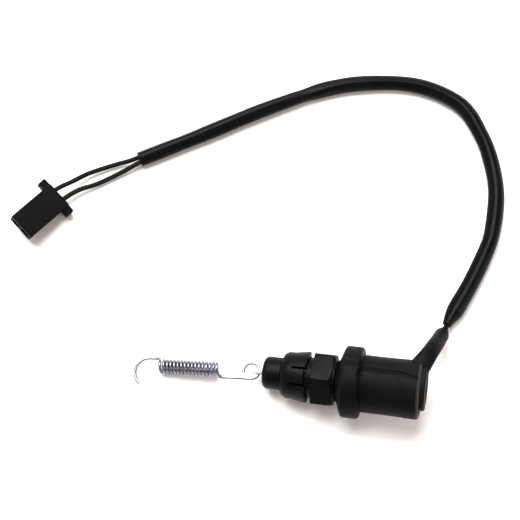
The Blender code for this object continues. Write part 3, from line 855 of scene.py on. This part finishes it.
def build_cap():
    """End disc, a little off the axis towards the tail."""
    outline = [(CAP_START, CAP_CENTRE_R), (CAP_START, CAP_R)]
    outline += arc(CAP_CORNER, CAP_ROUND, 90, 0, 6)
    outline += run((CAP_FACE, CAP_CORNER[1]), CAP_DISH[0], 2)
    outline += [CAP_DISH[1], (CAP_DISH[1][0], CAP_CENTRE_R)]
    cap = turned(
        "cap", outline, "black_rubber", "switch", CAP_SIDES, closed_ends=True, sharp=50
    )
    for vertex in cap.data.vertices:
        vertex.co += SIDE * CAP_ACROSS + RISE * CAP_RISE
    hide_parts("boot_end_cap")


def spring_place():
    turn = Euler((0, SPRING_SLOPE, math.pi + SPRING_YAW)).to_matrix().to_4x4()
    return Matrix.Translation(on_switch(EYE_S, 0, 0)) @ turn


def coil_point(turns):
    angle = 2 * math.pi * turns
    station = COIL_START + COIL_PITCH * (turns - COIL_FIRST)
    return Vector((station, COIL_R * math.cos(angle), COIL_R * math.sin(angle)))


def coil_slope(turns):
    angle = 2 * math.pi * turns
    around = 2 * math.pi * COIL_R
    slope = Vector((COIL_PITCH, -around * math.sin(angle), around * math.cos(angle)))
    return slope.normalized()


def pull_spring_wire():
    """Near loop, arm, close-wound coil, arm and open hook, in the spring's own frame."""
    reach = 2 * COIL_LEAD
    ahead = Vector((reach, 0, 0))
    wire = []
    for i in range(LOOP_STEPS + 1):
        angle = LOOP_TIP - (LOOP_TIP + math.pi / 2) * i / LOOP_STEPS
        wire.append(Vector((LOOP_R - LOOP_R * math.cos(angle), -LOOP_R * math.sin(angle), 0)))
    near, arm = wire[-1], Vector((COIL_START - COIL_LEAD, LOOP_R, 0))
    wire += [near.lerp(arm, i / ARM_STEPS) for i in range(1, ARM_STEPS)]
    start, end = coil_point(COIL_FIRST), coil_point(COIL_LAST)
    slope = coil_slope(COIL_FIRST) * reach
    wire += [hermite(arm, ahead, start, slope, i / LEAD_STEPS) for i in range(LEAD_STEPS)]
    steps = round(TURN_STEPS * (COIL_LAST - COIL_FIRST))
    for i in range(steps + 1):
        wire.append(coil_point(COIL_FIRST + (COIL_LAST - COIL_FIRST) * i / steps))
    slope = coil_slope(COIL_LAST) * reach
    hook = Vector((end.x + COIL_LEAD, HOOK_Y - HOOK_R, 0))
    for i in range(1, LEAD_STEPS + 1):
        wire.append(hermite(end, slope, hook, ahead, i / LEAD_STEPS))
    for i in range(HOOK_STEPS + 1):
        angle = math.pi / 2 + (HOOK_TIP - math.pi / 2) * i / HOOK_STEPS
        across = HOOK_Y - HOOK_R * math.sin(angle)
        wire.append(Vector((HOOK_X - HOOK_R * math.cos(angle), across, 0)))
    return wire, Vector((start.x, 0, 0)), Vector((end.x, 0, 0))


def build_pull_spring():
    """One zinc-plated wire: near loop, arm, close-wound coil, arm and open hook, in one fixed
    mesh.
    """
    wire, coil_from, coil_to = pull_spring_wire()
    place = spring_place()
    rings = sweep([place @ p for p in wire], round_section(WIRE_R), PULL_WIRE_SIDES)
    spring = loft("pull_spring_wire", rings, "zinc_steel", "pull_spring")
    # the wire is left without a parent, its place baked into its mesh
    spring.parent = None
    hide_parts("spring_near_loop", "spring_coil", "spring_far_hook")
    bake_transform(spring)


def build_return_spring():
    count = RETURN_TURNS * RETURN_STEPS
    points = []
    for i in range(count + 1):
        angle = 2 * math.pi * i / RETURN_STEPS
        station = RETURN_START + (RETURN_END - RETURN_START) * i / count
        points.append(on_switch(station, RETURN_R * math.cos(angle), RETURN_R * math.sin(angle)))
    rings = sweep(points, round_section(RETURN_WIRE_R), RETURN_WIRE_SIDES)
    spring = loft("return_coil", rings, "spring_steel", "switch")
    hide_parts("return_spring")
    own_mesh(spring)


build_barrel()
build_plunger()
refined("adjuster_nut", "nut_body", "black_plastic", "nut", NUT_EDGE)
build_boot()
build_cap()
build_return_spring()
build_pull_spring()

CARRIED = {
    "plunger_seal": "black_rubber",
    "spring_seat": "spring_steel",
    "contact_carrier": "phenolic",
    "contact_ring": "brass",
    "terminal_base": "phenolic",
    "terminal_blade_upper": "brass",
    "terminal_blade_lower": "brass",
    "nut_thread": "black_plastic",
    "inner_wire_upper": "wire_insulation",
    "inner_wire_lower": "wire_insulation",
    "connector_terminal_a": "brass",
    "connector_terminal_b": "brass",
}
for node, slot in CARRIED.items():
    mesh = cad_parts[node].data
    mesh.materials.clear()
    mesh.materials.append(MATERIALS[slot])


# ---- studio

FLOOR_RADIUS = 0.42
FLOOR_SIDES = 96
FLOOR_TONES = ((0.900, 0.885, 0.880), (0.915, 0.905, 0.900))
FLOOR_ROUGHNESS = 0.9
FLOOR_SPECULAR = 0.1

# surrounding light: white along the horizon, dimmer and warmer overhead, by the ray's height
HORIZON_Z = 0.08
HORIZON_COLOUR = (1.0, 1.0, 1.0, 1.0)
HORIZON_STRENGTH = 1.0
OVERHEAD_Z = 0.40
OVERHEAD_COLOUR = (1.0, 0.84, 0.77, 1.0)
OVERHEAD_STRENGTH = 0.50

# softboxes: place, what they face, their sides, watts and colour
LIGHTS = {
    "key": ((-0.18, 0.30, 0.62), (0.0, 0.04, 0.0), (0.50, 0.50), 11.0, (0.98, 1.0, 1.0)),
    "low": ((-0.05, 0.62, 0.30), (0.0, 0.02, 0.0), (0.40, 0.25), 1.2, (0.97, 0.99, 1.0)),
    "right": ((0.48, -0.04, 0.24), (0.04, 0.02, 0.0), (0.20, 0.25), 0.8, (1.0, 0.97, 0.95)),
    "left": ((-0.45, -0.20, 0.35), (0.0, 0.03, 0.0), (0.20, 0.35), 0.3, (0.94, 0.97, 1.0)),
}


def floor_material():
    n = Nodes("floor_paper")
    n.link(n.ramp(n.noise(6.0, 2.0), 0.3, 0.7, *FLOOR_TONES), n.shader.inputs["Base Color"])
    n.shader.inputs["Roughness"].default_value = FLOOR_ROUGHNESS
    n.shader.inputs["Specular IOR Level"].default_value = FLOOR_SPECULAR
    return n.material


def add_floor():
    steps = [math.tau * i / FLOOR_SIDES for i in range(FLOOR_SIDES)]
    rim = [(FLOOR_RADIUS * math.cos(a), FLOOR_RADIUS * math.sin(a), 0.0) for a in steps]
    mesh = bpy.data.meshes.new("floor")
    mesh.from_pydata(rim, [], [tuple(range(FLOOR_SIDES))])
    mesh.materials.append(floor_material())
    floor = bpy.data.objects.new("floor", mesh)
    scene.collection.objects.link(floor)


def add_light(name, place, target, size, watts, colour):
    data = bpy.data.lights.new(name, "AREA")
    data.shape = "RECTANGLE"
    data.size, data.size_y = size
    data.energy = watts
    data.color = colour
    light = bpy.data.objects.new(name, data)
    scene.collection.objects.link(light)
    aim(light, place, target)


def add_world():
    world = bpy.data.worlds.new("studio")
    world.use_nodes = True
    tree = world.node_tree
    back = tree.nodes["Background"]
    up = tree.nodes.new("ShaderNodeSeparateXYZ")
    tree.links.new(tree.nodes.new("ShaderNodeTexCoord").outputs["Generated"], up.inputs["Vector"])
    tint = tree.nodes.new("ShaderNodeValToRGB")
    horizon, overhead = tint.color_ramp.elements
    horizon.position, overhead.position = HORIZON_Z, OVERHEAD_Z
    horizon.color, overhead.color = HORIZON_COLOUR, OVERHEAD_COLOUR
    tree.links.new(up.outputs["Z"], tint.inputs["Fac"])
    tree.links.new(tint.outputs["Color"], back.inputs["Color"])
    level = tree.nodes.new("ShaderNodeMapRange")
    level.inputs["From Min"].default_value = HORIZON_Z
    level.inputs["From Max"].default_value = OVERHEAD_Z
    level.inputs["To Min"].default_value = HORIZON_STRENGTH
    level.inputs["To Max"].default_value = OVERHEAD_STRENGTH
    tree.links.new(up.outputs["Z"], level.inputs["Value"])
    tree.links.new(level.outputs["Result"], back.inputs["Strength"])
    scene.world = world


add_floor()
add_world()
for name, settings in LIGHTS.items():
    add_light(name, *settings)
scene.view_settings.view_transform = "Standard"
